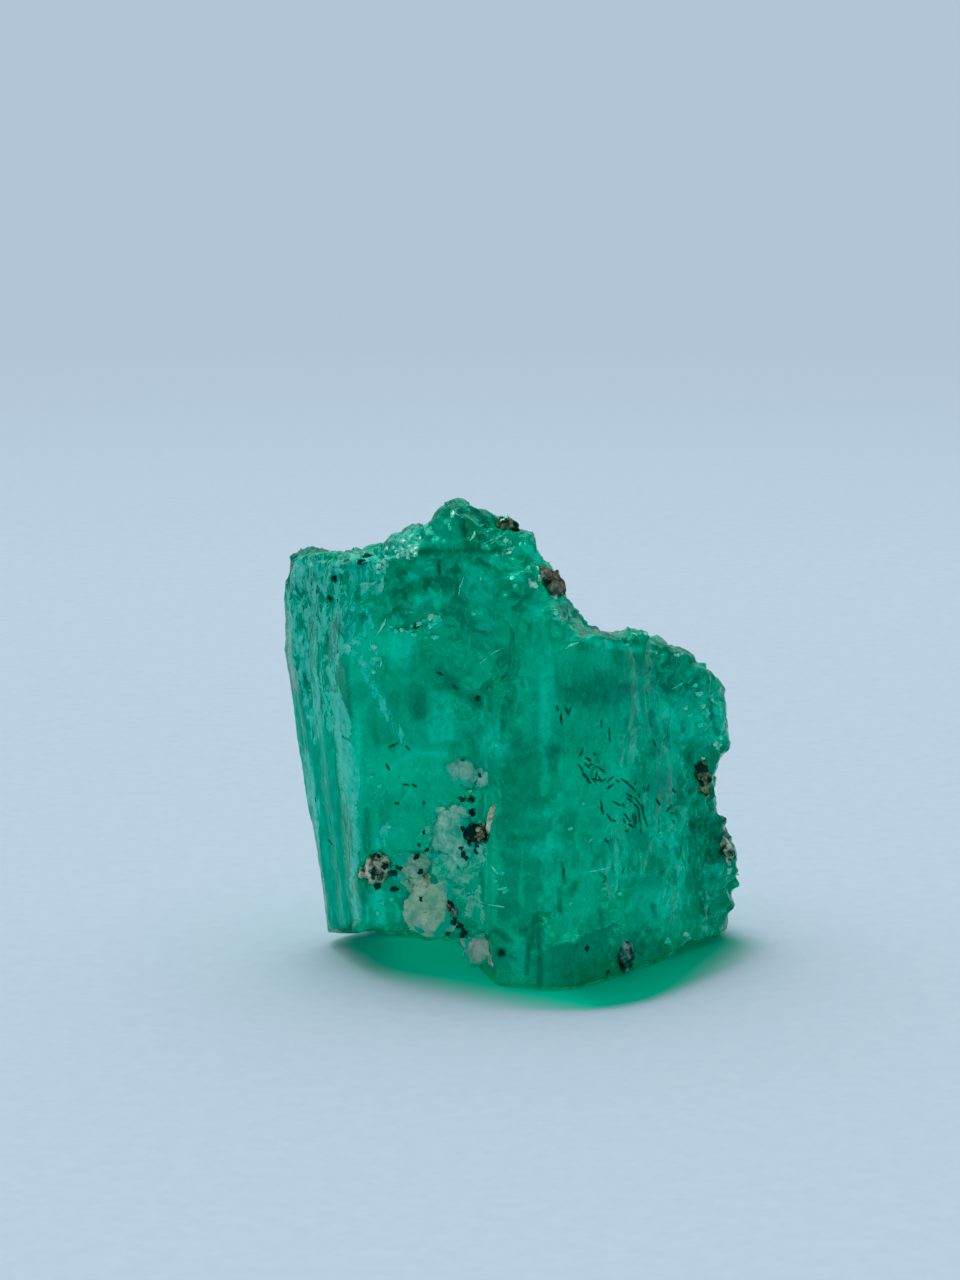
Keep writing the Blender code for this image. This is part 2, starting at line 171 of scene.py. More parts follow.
# painted highlights on pale facets and along gleam lines, partly paler green
PALE_FACETS_AND_GLEAMS = (
    (
        ((441, 522), (452, 512), (460, 522), (461, 548), (436, 550), (430, 546), (436, 538), (436, 528)),
        ((418, 560), (436, 558), (438, 575), (418, 578), (404, 584), (402, 580), (412, 568)),
        ((442, 558), (456, 557), (453, 568), (446, 574), (441, 574)),
        ((703, 864), (722, 864), (722, 900), (716, 922), (708, 905), (703, 880)),
        ((374, 893), (385, 890), (381, 925), (373, 926)),
    ),
    (((512, 546), (10, 10)), ((526, 546), (7, 10)), ((552, 612), (8, 8)), ((660, 832), (8, 16))),
    (
        (((541, 622), (548, 650), (552, 690), (553, 704)), 3.0), (((536, 596), (534, 640)), 3.0),
        (((318, 800), (324, 840), (332, 870)), 2.5), (((344, 880), (352, 900), (357, 915)), 2.5),
        (((700, 661), (690, 675), (676, 688)), 2.2), (((709, 676), (696, 690), (686, 695)), 2.6),
        (((664, 701), (673, 716)), 3.0), (((680, 700), (690, 712), (690, 738)), 3.5),
        (((524, 940), (519, 968)), 3.0), (((545, 932), (547, 968), (546, 986)), 3.4),
        (((585, 873), (600, 870), (612, 867)), 1.6), (((636, 695), (641, 720)), 2.6),
        (((440, 520), (456, 519)), 1.8), (((448, 755), (420, 752), (400, 762), (380, 775)), 2.5),
    ),
)
# painted light: patches where the body looks lit brighter, with a glint cluster among them; they also cloud
# the crystal a little
PAINTED_LIGHT_PATCHES = (
    (
        ((425, 692), (448, 690), (453, 705), (456, 740), (430, 743), (424, 716)),
        ((428, 611), (440, 613), (441, 625), (430, 628), (426, 620)),
        ((694, 696), (716, 690), (727, 716), (729, 740), (714, 750), (702, 738), (696, 716)),
        ((660, 700), (686, 694), (694, 716), (692, 740), (676, 742), (664, 720)),
    ),
    (
        ((545, 720), (7, 60)), ((520, 962), (18, 26)), ((660, 905), (34, 22)),
        ((690, 930), (30, 14)), ((380, 905), (20, 22)), ((545, 850), (24, 12)), ((430, 600), (22, 8)),
        ((478, 613), (6, 5)), ((355, 760), (8, 60)), ((712, 716), (22, 34)), ((680, 715), (20, 24)),
        ((480, 580), (20, 30)), ((400, 650), (16, 22)), ((495, 745), (18, 20)), ((360, 910), (12, 20)),
    ),
    (((( 420, 545), (450, 541)), 2.5), (((590, 640), (640, 650)), 4.0)),
)
# painted shade in creases, cracks and under glints, and dark spots of the body itself
SHADE_AND_DARK_SPOTS = (
    (),
    (
        ((420, 706), (12, 16)), ((600, 690), (46, 20)), ((552, 751), (9, 9)), ((653, 752), (7, 8)),
        ((668, 688), (7, 9)), ((718, 845), (10, 24)), ((700, 824), (14, 10)), ((402, 592), (12, 10)),
        ((345, 928), (14, 7)), ((670, 790), (22, 26)), ((510, 690), (7, 24)), ((501, 952), (6, 6)),
        ((316, 590), (10, 20)), ((345, 625), (16, 16)), ((333, 645), (8, 14)), ((303, 706), (6, 20)),
        ((520, 594), (14, 7)), ((366, 895), (6, 12)), ((715, 945), (16, 6)), ((568, 612), (8, 12)),
    ),
    (
        (((420, 551), (470, 550), (511, 553)), 2.4), (((460, 514), (461, 530), (467, 544)), 2.6),
        (((437, 559), (441, 577)), 2.0), (((438, 668), (452, 682), (458, 690), (470, 700), (480, 702)), 5.5),
        (((394, 628), (410, 627), (423, 626)), 2.8), (((672, 676), (666, 697)), 3.2),
        (((688, 676), (678, 688), (668, 694)), 2.6), (((708, 692), (712, 716), (718, 734)), 2.2),
        (((702, 674), (692, 683), (682, 695)), 2.0),
        (((651, 713), (656, 732)), 3.6), (((665, 720), (669, 746)), 3.0), (((529, 940), (527, 972)), 2.6),
        (((540, 928), (541, 985)), 2.4), (((534, 918), (532, 946)), 2.4), (((714, 822), (732, 821)), 2.4),
        (((563, 864), (565, 884)), 2.6), (((504, 706), (503, 730)), 2.6), (((345, 700), (352, 716)), 2.0),
        (((333, 562), (352, 560)), 3.0), (((296, 556), (330, 553)), 2.2), (((400, 528), (424, 527)), 2.2),
        (((310, 610), (312, 640)), 2.4), (((318, 690), (322, 730)), 2.0), (((304, 660), (305, 700)), 2.4),
        (((600, 908), (602, 930)), 2.6), (((560, 890), (560, 912)), 2.2), (((652, 905), (655, 916)), 3.0),
        (((478, 560), (488, 566)), 3.0), (((484, 530), (480, 545)), 2.0), (((488, 526), (492, 545)), 2.0),
    ),
)
# short dark slivers: start, end
DASHES = (
    (579, 757, 584, 747), (593, 753, 597, 755), (584, 763, 590, 769), (588, 766, 594, 764),
    (582, 771, 586, 779), (597, 771, 596, 779), (586, 779, 592, 784), (592, 778, 597, 785),
    (606, 789, 614, 784), (615, 780, 620, 783), (602, 781, 606, 778), (626, 780, 631, 788),
    (636, 779, 634, 786), (643, 786, 645, 792), (649, 783, 648, 792), (625, 793, 633, 798),
    (638, 793, 640, 799), (622, 803, 625, 808), (600, 806, 604, 815), (633, 803, 640, 810),
    (641, 803, 645, 816), (634, 812, 637, 824), (644, 816, 648, 828), (608, 815, 612, 822),
    (612, 820, 616, 822), (623, 818, 626, 824), (628, 823, 634, 828), (625, 830, 629, 832),
    (657, 802, 661, 805), (667, 812, 670, 807), (671, 820, 675, 823), (640, 828, 641, 834),
    (672, 790, 677, 792), (568, 715, 571, 707), (609, 735, 610, 742), (604, 838, 609, 843),
    (622, 874, 625, 867), (660, 874, 664, 870), (564, 867, 563, 880), (602, 882, 606, 880),
    (557, 705, 558, 712), (402, 784, 410, 785), (411, 783, 417, 788), (394, 803, 400, 804),
    (405, 745, 410, 751), (388, 748, 398, 742), (327, 840, 333, 845), (315, 797, 316, 803),
    (303, 604, 304, 611), (386, 763, 390, 771), (414, 626, 422, 625), (437, 562, 440, 575),
    (463, 520, 466, 538), (478, 695, 480, 701), (458, 853, 466, 858), (470, 846, 477, 848),
    (459, 921, 463, 934), (410, 859, 416, 855), (436, 672, 444, 675), (452, 684, 458, 690),
    (577, 763, 584, 772), (584, 772, 590, 781), (596, 766, 606, 773), (590, 778, 600, 781),
    (606, 783, 614, 776), (620, 778, 630, 785), (628, 783, 636, 792), (634, 796, 641, 806),
    (600, 797, 603, 812), (606, 813, 612, 821), (638, 806, 641, 827), (643, 801, 646, 826),
    (632, 812, 636, 829), (623, 812, 631, 822), (612, 801, 622, 806), (646, 793, 650, 783),
    (655, 798, 661, 805), (666, 812, 671, 806), (561, 712, 562, 726), (565, 706, 569, 716),
    (609, 726, 611, 742), (601, 719, 602, 728), (649, 717, 652, 728), (652, 738, 656, 747),
    (672, 789, 676, 792), (585, 757, 592, 762), (598, 775, 603, 783), (626, 797, 633, 803),
)
# dark grains: place, half size
SPECKS = (
    (462, 799, 2.4), (471, 799, 2.6), (472, 812, 3.2), (463, 854, 2.8), (476, 852, 2.6),
    (416, 856, 2.6), (393, 874, 3.0), (399, 868, 2.0), (394, 889, 2.4), (421, 872, 2.6),
    (421, 899, 2.6), (455, 920, 3.4), (464, 934, 3.4), (459, 926, 2.2), (501, 953, 2.4),
    (587, 948, 2.4), (622, 966, 4.0), (631, 960, 3.4), (608, 972, 2.0), (366, 557, 3.6),
    (361, 562, 2.4), (334, 579, 3.2), (330, 598, 3.4), (338, 601, 2.2), (478, 699, 2.2),
    (416, 626, 2.2), (452, 908, 2.0), (448, 933, 1.8), (424, 803, 1.6), (424, 832, 1.8),
    (419, 845, 1.6), (427, 850, 1.6), (702, 768, 3.4), (700, 784, 3.0), (722, 852, 3.2),
    (480, 775, 2.6), (379, 856, 2.0), (385, 866, 2.4), (378, 886, 2.4), (372, 874, 2.0),
    (463, 829, 2.2), (469, 843, 2.2), (486, 824, 1.8), (475, 824, 1.6), (477, 846, 2.0), (461, 848, 1.6),
    (466, 858, 1.6), (487, 840, 1.8),
)
BROWN_SPECKS = (
    (453, 912, 3.0), (424, 884, 2.4), (478, 829, 2.0),
    (411, 884, 2.4), (484, 827, 2.6), (500, 516, 3.0), (728, 862, 3.0), (490, 962, 2.2),
)
AMBER_SPECKS = ((482, 831, 3.8), (478, 837, 2.6), (451, 906, 4.0), (426, 878, 3.4))
# pale glassy edges, bright as painted glints: start, end, width
GLINTS = (
    (376, 636, 387, 618, 3.6), (380, 655, 381, 668, 3.4), (366, 585, 377, 581, 3.6),
    (322, 613, 331, 602, 3.0), (470, 541, 476, 530, 3.6), (476, 530, 486, 523, 2.8),
    (482, 903, 508, 907, 3.0), (491, 865, 499, 875, 3.0), (496, 891, 508, 886, 3.2),
    (479, 665, 488, 656, 2.0), (488, 656, 500, 649, 1.8), (457, 598, 464, 575, 2.2),
    (564, 649, 580, 641, 3.0), (585, 873, 612, 867, 1.8), (671, 690, 684, 682, 1.8),
)
# small flat flecks that catch the light, bright as painted glints, the white ones partly frost: place, half
# size
WHITE_FLECKS = (
    (430, 616, 2.8), (418, 623, 2.2), (402, 629, 2.0), (453, 514, 3.0), (506, 517, 3.0),
    (502, 520, 2.0), (508, 553, 2.6), (698, 693, 2.4), (719, 744, 1.8), (678, 655, 1.8),
    (525, 544, 1.8), (539, 577, 3.0), (537, 568, 1.8),
    (533, 585, 2.4), (554, 596, 2.2), (555, 612, 2.4), (703, 704, 3.4), (686, 706, 2.8),
    (702, 758, 2.0), (715, 743, 2.2), (684, 934, 2.6), (379, 565, 2.4),
    (384, 562, 1.8), (408, 556, 2.4), (398, 556, 2.2), (415, 554, 2.2), (416, 548, 1.8),
    (374, 646, 2.4), (374, 671, 2.2), (481, 578, 1.4), (511, 577, 1.6),
    (463, 796, 1.2), (388, 548, 1.8), (404, 541, 2.0), (312, 564, 1.8), (409, 546, 2.2),
    (396, 551, 1.6), (412, 551, 1.4), (471, 790, 1.6), (403, 549, 2.2), (386, 556, 1.6),
    (420, 538, 2.0), (418, 545, 1.6),
    (378, 571, 1.8), (383, 578, 1.4), (366, 583, 1.6), (394, 547, 1.4), (411, 536, 1.6),
)
GREEN_FLECKS = (
    (436, 618, 4.0), (431, 624, 3.0), (424, 619, 2.4), (412, 625, 2.0), (396, 630, 2.6),
    (391, 626, 1.6), (414, 634, 2.2), (408, 631, 1.8), (435, 636, 2.4), (427, 637, 1.6),
    (473, 612, 3.0), (712, 700, 3.0), (700, 724, 2.6), (720, 736, 2.4), (694, 684, 2.4),
    (705, 711, 4.2), (710, 722, 3.2), (706, 735, 2.6), (690, 713, 2.6),
    (716, 746, 2.8), (666, 940, 3.0), (688, 938, 2.6), (712, 932, 2.6), (716, 940, 2.2),
    (502, 872, 2.4), (496, 880, 1.8), (506, 889, 2.6), (512, 578, 2.2), (515, 585, 2.2),
    (520, 545, 2.4), (510, 542, 2.4), (556, 618, 2.2), (619, 893, 2.4), (603, 888, 2.0),
    (570, 903, 1.8), (588, 909, 1.6), (378, 912, 2.6), (382, 902, 2.0), (392, 898, 2.2),
    (583, 803, 1.4), (660, 832, 2.0), (450, 527, 2.6), (444, 541, 2.2), (372, 776, 2.0), (380, 785, 2.0),
    (497, 745, 1.4), (570, 828, 1.8), (590, 840, 2.0),
)
# a splinter of rock: start, end, width
TAN_SHARD = ((487, 840, 496, 803, 11.0),)

# ==== helpers ====
def smooth_step(low, high, value):
    share = min(1.0, max(0.0, (value - low) / (high - low)))
    return share * share * (3.0 - 2.0 * share)


def add_piece(name, mesh_data):
    piece = bpy.data.objects.new(name, mesh_data)
    bpy.context.scene.collection.objects.link(piece)
    return piece


def bake_modifiers(piece):
    state = bpy.context.evaluated_depsgraph_get()
    state.update()
    result = bpy.data.meshes.new_from_object(piece.evaluated_get(state))
    piece.modifiers.clear()
    piece.data = result


def copy_in_millimetres(node, name):
    mesh_data = frame["nodes"][node].data.copy()
    mesh_data.materials.clear()
    mesh_data.transform(Matrix.Scale(1.0 / MM, 4))
    return add_piece(name, mesh_data)


def remesh(piece, cell):
    step = piece.modifiers.new("remesh", "REMESH")
    step.mode = "VOXEL"
    step.voxel_size = cell
    bake_modifiers(piece)


def smooth(piece, passes):
    step = piece.modifiers.new("smooth", "SMOOTH")
    step.factor = 0.5
    step.iterations = passes
    bake_modifiers(piece)


def settle_on_body(piece, slot_name, *nodes):
    """Turn millimetres into metres, shade smooth and ride on the body."""
    piece.data.transform(Matrix.Scale(MM, 4))
    piece.data.shade_smooth()
    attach(piece, BODY)
    if nodes:
        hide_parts(*nodes)


CAMERA_TURN = Matrix.Rotation(math.radians(90.0) - CAMERA_PITCH, 3, "X")


def framing_spot(point):
    """Where a point of the stone falls in the framing, in pixels."""
    seen = CAMERA_TURN.transposed() @ (point - CAMERA_PLACE)
    return (
        FRAMING[0] / 2.0 - FOCAL * seen.x / seen.z,
        FRAMING[1] / 2.0 + FOCAL * seen.y / seen.z,
    )


def surface_under(surface, spot):
    """The place and normal of the surface seen at a framing spot, or None."""
    ray = Vector((spot[0] - FRAMING[0] / 2.0, FRAMING[1] / 2.0 - spot[1], -FOCAL))
    place, normal, _, _ = surface.ray_cast(CAMERA_PLACE, (CAMERA_TURN @ ray).normalized())
    return (place, normal) if place is not None else None


def blot_share(spot, centre, half):
    """How deep inside a soft blot a framing spot lies, 0 to 1."""
    across = (spot[0] - centre[0]) / half[0]
    down = (spot[1] - centre[1]) / half[1]
    if abs(across) > 1.5 or abs(down) > 1.5:
        return 0.0
    return 1.0 - smooth_step(0.45, 1.35, math.hypot(across, down))


def away_from_line(spot, start, end):
    """Distance in pixels from a framing spot to a straight line."""
    along = (end[0] - start[0], end[1] - start[1])
    offset = (spot[0] - start[0], spot[1] - start[1])
    share = (offset[0] * along[0] + offset[1] * along[1]) / (along[0] ** 2 + along[1] ** 2)
    share = min(1.0, max(0.0, share))
    return math.hypot(offset[0] - share * along[0], offset[1] - share * along[1])


def stroke_share(spot, line, half_width):
    """How near a framing spot is to a stroke, 1 on it and 0 beside it."""
    away = min(away_from_line(spot, start, end) for start, end in zip(line, line[1:]))
    return 1.0 - smooth_step(0.5, 1.5, away / half_width)


def outline_share(spot, corners):
    """1 inside a closed outline and 0 outside it, with a soft edge."""
    inside = False
    nearest = OUTLINE_EDGE
    for start, end in zip(corners, corners[1:] + corners[:1]):
        if (start[1] > spot[1]) != (end[1] > spot[1]):
            crossing = start[0] + (end[0] - start[0]) * (spot[1] - start[1]) / (end[1] - start[1])
            inside = inside != (spot[0] < crossing)
        nearest = min(nearest, away_from_line(spot, start, end))
    return smooth_step(-OUTLINE_EDGE, OUTLINE_EDGE, nearest if inside else -nearest)


def near_box(spot, points, margin):
    """Whether a framing spot lies in or near the box round some points."""
    across = [p[0] for p in points]
    down = [p[1] for p in points]
    return (
        min(across) - margin < spot[0] < max(across) + margin
        and min(down) - margin < spot[1] < max(down) + margin
    )


def mark_share(spot, mark):
    outlines, blots, strokes = mark
    best = max((blot_share(spot, *blot) for blot in blots), default=0.0)
    for corners in outlines:
        if near_box(spot, corners, OUTLINE_EDGE):
            best = max(best, outline_share(spot, corners))
    for line, half_width in strokes:
        if near_box(spot, line, 1.5 * half_width):
            best = max(best, stroke_share(spot, line, half_width))
    return best


# ==== crystal surface ====
def along_axis(point, stretch):
    """The point with its height squeezed, so that noise read there runs along the crystal."""
    across = point - AXIS_LEAN * (point.z / AXIS_LEAN.z)
    return Vector((across.x, across.y, point.z * stretch))


def facets(point, scale, tilt, swing):
    """Height of flat cells that each lean their own way, joined along sharp edges."""
    distances, centres = noise.voronoi(point * scale)
    heights = []
    for centre in centres[:2]:
        lean = noise.noise_vector(centre * 5.7)
        heights.append(tilt * lean.dot(point * scale - centre) / scale + swing * lean.z)
    own = 0.5 + 0.5 * smooth_step(0.0, 0.16, distances[1] - distances[0])
    return heights[0] * own + heights[1] * (1.0 - own)


def brokenness(point, normal):
    """1 on a broken surface and 0 on a grown face."""
    tilted = smooth_step(0.22, 0.50, abs(normal.dot(AXIS_LEAN))) * smooth_step(0.1, 1.0, point.z)
    peak = smooth_step(6.9, 8.6, point.z) * smooth_step(-1.0, -2.0, point.y)
    peak *= smooth_step(-3.7, -2.9, point.x)
    reach = point.x + 0.7 * noise.noise(point * 1.1)
    right_end = smooth_step(2.7, 4.1, reach) * smooth_step(6.9, 3.9, point.z)
    right_end = max(right_end, smooth_step(2.6, 3.3, point.x) * smooth_step(5.0, 5.8, point.z))
    foot = 0.5 * smooth_step(1.5, 0.5, point.z) * smooth_step(1.4, 2.4, point.x)
    patchy = smooth_step(0.15, 0.45, noise.noise(point * 0.55 + Vector((11.0, 0.0, 0.0))))
    patchy *= 0.35 * smooth_step(-3.4, -2.6, point.x)
    top_left = 0.7 * smooth_step(7.1, 7.9, point.z) * smooth_step(-1.4, -2.4, point.x)
    return max(tilted, 0.75 * peak, right_end, foot, patchy, top_left)


def flakes(point):
    """Thin scales on the left side: level patches with ragged upright edges, about -1 to 0."""
    place = along_axis(point, 0.5)
    field = noise.noise(place * 2.6) + 0.5 * noise.noise(place * 6.0)
    return smooth_step(-0.03, 0.03, field) - 1.0


def crystal_relief(point, normal):
    """How far the surface moves out at a point, and how broken it is there."""
    broken = brokenness(point, normal)
    left = smooth_step(0.40, 0.75, -normal.x) * smooth_step(-3.0, -3.6, point.x)
    place = along_axis(point, 0.05)
    stria = 0.6 * noise.noise(place * 5.0) + 0.4 * noise.noise(place * 11.0)
    relief = (FINE_STRIA + (LEFT_STRIA - FINE_STRIA) * left) * (1.0 - broken) * stria
    relief += FLAKE_HEIGHT * left * (1.0 - broken) * flakes(point)
    if broken > 0.01:
        sizes = (BROAD_FACETS, SMALL_FACETS, TINY_FACETS)
        relief += broken * sum(facets(point, *size) for size in sizes)
    relief += (1.0 - broken) * (1.0 - left) * facets(point, *FACE_FACETS)
    relief += SKIN_GRAIN * noise.noise(point * 7.0)
    return relief, broken


MARKS = {
    "film": FILM, "band": BAND, "teal": TEAL, "rim": FROST_RIM_AND_HIGHLIGHTS, "sage": SAGE, "cream": CREAM, "pink": PINK,
    "grey": GREY, "umber": UMBER, "pale": PALE_FACETS_AND_GLEAMS, "light": PAINTED_LIGHT_PATCHES, "dark": SHADE_AND_DARK_SPOTS,
}


# marks scattered over the unseen sides: kind, patches per millimetre, offset of the pattern, its levels; the
# light and dark kinds scatter painted light and painted shade
SCATTERED = (
    ("film", 0.45, Vector((0.0, 31.0, 0.0)), 0.05, 0.45),
    ("sage", 0.55, Vector((17.0, 0.0, 0.0)), 0.34, 0.50),
    ("light", 0.70, Vector((0.0, 0.0, 0.0)), 0.10, 0.50),
    ("dark", 0.60, Vector((0.0, 9.0, 0.0)), 0.10, 0.50),
)


def hidden_side(point, normal):
    """1 where the framing does not see the surface, 0 where it faces the camera."""
    return 1.0 - smooth_step(0.05, 0.25, normal.dot((CAMERA_PLACE - point).normalized()))


def paint(vertex, layers, broken):
    """Masks of the marks; the sides out of view get scattered ones of the same kind."""
    point = vertex.co
    unseen = hidden_side(point, vertex.normal)
    spot = framing_spot(point)
    if unseen < 1.0:
        for name, mark in MARKS.items():
            vertex[layers[name]] = mark_share(spot, mark) * (1.0 - unseen)
    vertex[layers["broken"]] = broken
    if unseen > 0.0:
        for name, scale, offset, low, high in SCATTERED:
            vertex[layers[name]] += unseen * smooth_step(low, high, noise.noise(point * scale + offset))


def build_crystal():
    piece = copy_in_millimetres("emerald_crystal", "emerald_body")
    remesh(piece, CRYSTAL_CELL)
    smooth(piece, SMOOTH_PASSES)
    shape = bmesh.new()
    shape.from_mesh(piece.data)
    shape.normal_update()
    layers = {name: shape.verts.layers.float.new(name) for name in (*MARKS, "broken")}
    moves = []
    for vertex in shape.verts:
        relief, broken = crystal_relief(vertex.co, vertex.normal)
        paint(vertex, layers, broken)
        foot = smooth_step(0.0, FOOT_CALM, vertex.co.z)
        moves.append(vertex.normal * relief * foot)
    for vertex, move in zip(shape.verts, moves):
        vertex.co += move
        vertex.co.z = max(0.0, vertex.co.z)
    shape.to_mesh(piece.data)
    surface = BVHTree.FromBMesh(shape)
    shape.free()
    return piece, surface


# ==== materials ====
class Nodes:
    """A short way to write a material's node tree."""

    def __init__(self, name):
        self.material = bpy.data.materials.new(name)
        self.material.use_nodes = True
        self.tree = self.material.node_tree
        self.tree.nodes.clear()
        self.output = self.tree.nodes.new("ShaderNodeOutputMaterial")
        self.place = self.add("ShaderNodeTexCoord").outputs["Object"]

    def add(self, kind, **settings):
        node = self.tree.nodes.new(kind)
        for name, value in settings.items():
            setattr(node, name, value)
        return node

    def set(self, socket, value):
        if isinstance(value, bpy.types.NodeSocket):
            self.tree.links.new(value, socket)
        else:
            socket.default_value = value

    def layer(self, name):
        return self.add("ShaderNodeAttribute", attribute_name=name).outputs["Fac"]

    def math(self, operation, first, second=0.0, clamp=False):
        node = self.add("ShaderNodeMath", operation=operation, use_clamp=clamp)
        self.set(node.inputs[0], first)
        self.set(node.inputs[1], second)
        return node.outputs[0]

    def times(self, first, second):
        return self.math("MULTIPLY", first, second)

    def remap(self, value, low, high, to_low=0.0, to_high=1.0):
        node = self.add("ShaderNodeMapRange", interpolation_type="SMOOTHSTEP")
        for index, item in enumerate((value, low, high, to_low, to_high)):
            self.set(node.inputs[index], item)
        return node.outputs[0]

    def mix(self, share, first, second):
        node = self.add("ShaderNodeMix", data_type="RGBA", blend_type="MIX")
        self.set(node.inputs[0], share)
        self.set(node.inputs[6], first)
        self.set(node.inputs[7], second)
        return node.outputs[2]

    def scaled_place(self, scale):
        """Object place in millimetres, stretched by scale."""
        node = self.add("ShaderNodeMapping")
        self.set(node.inputs["Vector"], self.place)
        node.inputs["Scale"].default_value = [s / MM for s in scale]
        return node.outputs[0]

    def noise(self, scale, detail=4.0, rough=0.55, distortion=0.0, stretch=(1, 1, 1)):
        node = self.add("ShaderNodeTexNoise")
        self.set(node.inputs["Vector"], self.scaled_place(stretch))
        settings = {"Scale": scale, "Detail": detail, "Roughness": rough, "Distortion": distortion}
        for name, value in settings.items():
            self.set(node.inputs[name], value)
        return node.outputs["Fac"]

    def chips(self, scale, warp):
        """A random level for each of many angular cells with crooked borders."""
        bend = self.add("ShaderNodeTexNoise")
        self.set(bend.inputs["Vector"], self.scaled_place((1, 1, 1)))
        bend.inputs["Scale"].default_value = scale * 0.8
        bent = self.add("ShaderNodeVectorMath", operation="MULTIPLY_ADD")
        self.set(bent.inputs[0], bend.outputs["Color"])
        bent.inputs[1].default_value = (warp, warp, warp)
        self.set(bent.inputs[2], self.scaled_place((1, 1, 0.7)))
        cell = self.add("ShaderNodeTexVoronoi", feature="F1")
        self.set(cell.inputs["Vector"], bent.outputs[0])
        cell.inputs["Scale"].default_value = scale
        level = self.add("ShaderNodeSeparateColor")
        self.set(level.inputs[0], cell.outputs["Color"])
        return level.outputs[0]

    def thread(self, scale, distortion, width):
        """Thin crooked lines, where a noise pattern crosses its middle level."""
        pattern = self.noise(scale, 5.0, 0.6, distortion, (1, 1, 0.8))
        away = self.math("ABSOLUTE", self.math("SUBTRACT", pattern, 0.5))
        return self.remap(away, width, 0.0)

    def ragged(self, layer, pattern, spread, low, high):
        """A painted mask with its edge and middle broken up by a noise pattern."""
        spread_mask = self.times(self.layer(layer), spread)
        return self.remap(self.math("ADD", spread_mask, pattern), low, high)

    def facet_normal(self, scale, strength):
        """The surface direction, leaned a different way in every small cell."""
        cell = self.add("ShaderNodeTexVoronoi", feature="F1")
        self.set(cell.inputs["Vector"], self.scaled_place((1, 1, 1)))
        cell.inputs["Scale"].default_value = scale
        lean = self.add("ShaderNodeVectorMath", operation="SUBTRACT")
        self.set(lean.inputs[0], cell.outputs["Color"])
        lean.inputs[1].default_value = (0.5, 0.5, 0.5)
        scaled = self.add("ShaderNodeVectorMath", operation="SCALE")
        self.set(scaled.inputs[0], lean.outputs[0])
        self.set(scaled.inputs["Scale"], strength)
        total = self.add("ShaderNodeVectorMath", operation="ADD")
        self.set(total.inputs[0], scaled.outputs[0])
        self.set(total.inputs[1], self.add("ShaderNodeNewGeometry").outputs["Normal"])
        result = self.add("ShaderNodeVectorMath", operation="NORMALIZE")
        self.set(result.inputs[0], total.outputs[0])
        return result.outputs[0]

    def bump(self, height, strength, distance_mm, normal=None):
        node = self.add("ShaderNodeBump")
        node.inputs["Strength"].default_value = strength
        node.inputs["Distance"].default_value = distance_mm * MM
        self.set(node.inputs["Height"], height)
        if normal is not None:
            self.set(node.inputs["Normal"], normal)
        return node.outputs[0]

    def principled(self, **inputs):
        node = self.add("ShaderNodeBsdfPrincipled")
        for name, value in inputs.items():
            self.set(node.inputs[name.replace("_", " ")], value)
        self.tree.links.new(node.outputs[0], self.output.inputs["Surface"])
        return node


PEPPER = (0.03, 0.06, 0.035, 1.0)


def rock_colour(n, middle, dark, light):
    """Mottled host rock; the same pattern runs on from the crystal to the scraps in it."""
    mottle = n.noise(3.6, 6.0, 0.68, 0.5)
    fine = n.noise(11.0, 4.0, 0.65)
    colour = n.mix(n.remap(mottle, 0.40, 0.54), dark, middle)
    colour = n.mix(n.remap(mottle, 0.52, 0.66, 0.0, 0.95), colour, light)
    colour = n.mix(n.remap(fine, 0.56, 0.70, 0.0, 0.65), colour, dark)
    pepper = n.noise(15.0, 2.0, 0.5)
    return n.mix(n.remap(pepper, 0.68, 0.74, 0.0, 0.7), colour, PEPPER)


# greens of the crystal, from its own colour to the frosted rim, which is partly a painted highlight
DEEP = (0.0, 0.54, 0.28, 1.0)
MID = (0.0, 0.78, 0.44, 1.0)
BRIGHT = (0.0, 1.0, 0.64, 1.0)
MURK = (0.0, 0.15, 0.08, 1.0)
PALE_GREEN = (0.03, 1.0, 0.70, 1.0)
MILK = (0.11, 0.90, 0.72, 1.0)
HAZE = (0.30, 1.0, 0.86, 1.0)
MINT = (0.20, 0.90, 0.68, 1.0)
FROST_AND_GLINT = (0.66, 1.0, 0.88, 1.0)
STRIP_DARK = (0.0, 0.42, 0.25, 1.0)
STRIP_LIGHT = (0.0, 0.70, 0.46, 1.0)
# stains of rock on the crystal: kind, how far it spreads, how strong it is
STAINS = (
    ("umber", 0.45, 0.70), ("sage", 0.42, 0.82), ("cream", 0.46, 0.95), ("pink", 0.46, 0.95),
    ("grey", 0.46, 0.90),
)
# light through the crystal
CRYSTAL_IOR = 1.57
CLEAREST = 0.66
CLOUDIEST = 0.06
SHINE = 0.25
SHINE_TINT = (0.06, 1.0, 0.80, 1.0)
DEPTH_COLOUR = (0.02, 0.93, 0.72, 1.0)
DEPTH_DENSITY = 120.0


def crystal_patterns(n):
    return {
        "slow": n.noise(0.55, 3.0, 0.5, 0.6),
        "veins": n.noise(1.5, 6.0, 0.62, 1.4),
        "fine": n.noise(4.6, 6.0, 0.66, 0.8),
        "flecks": n.noise(12.0, 3.0, 0.6),
        "upright": n.noise(3.4, 3.0, 0.5, 0.3, (1.0, 1.0, 0.12)),
        "streaky": n.noise(6.0, 6.0, 0.62, 0.9, (1.0, 1.0, 0.36)),
    }


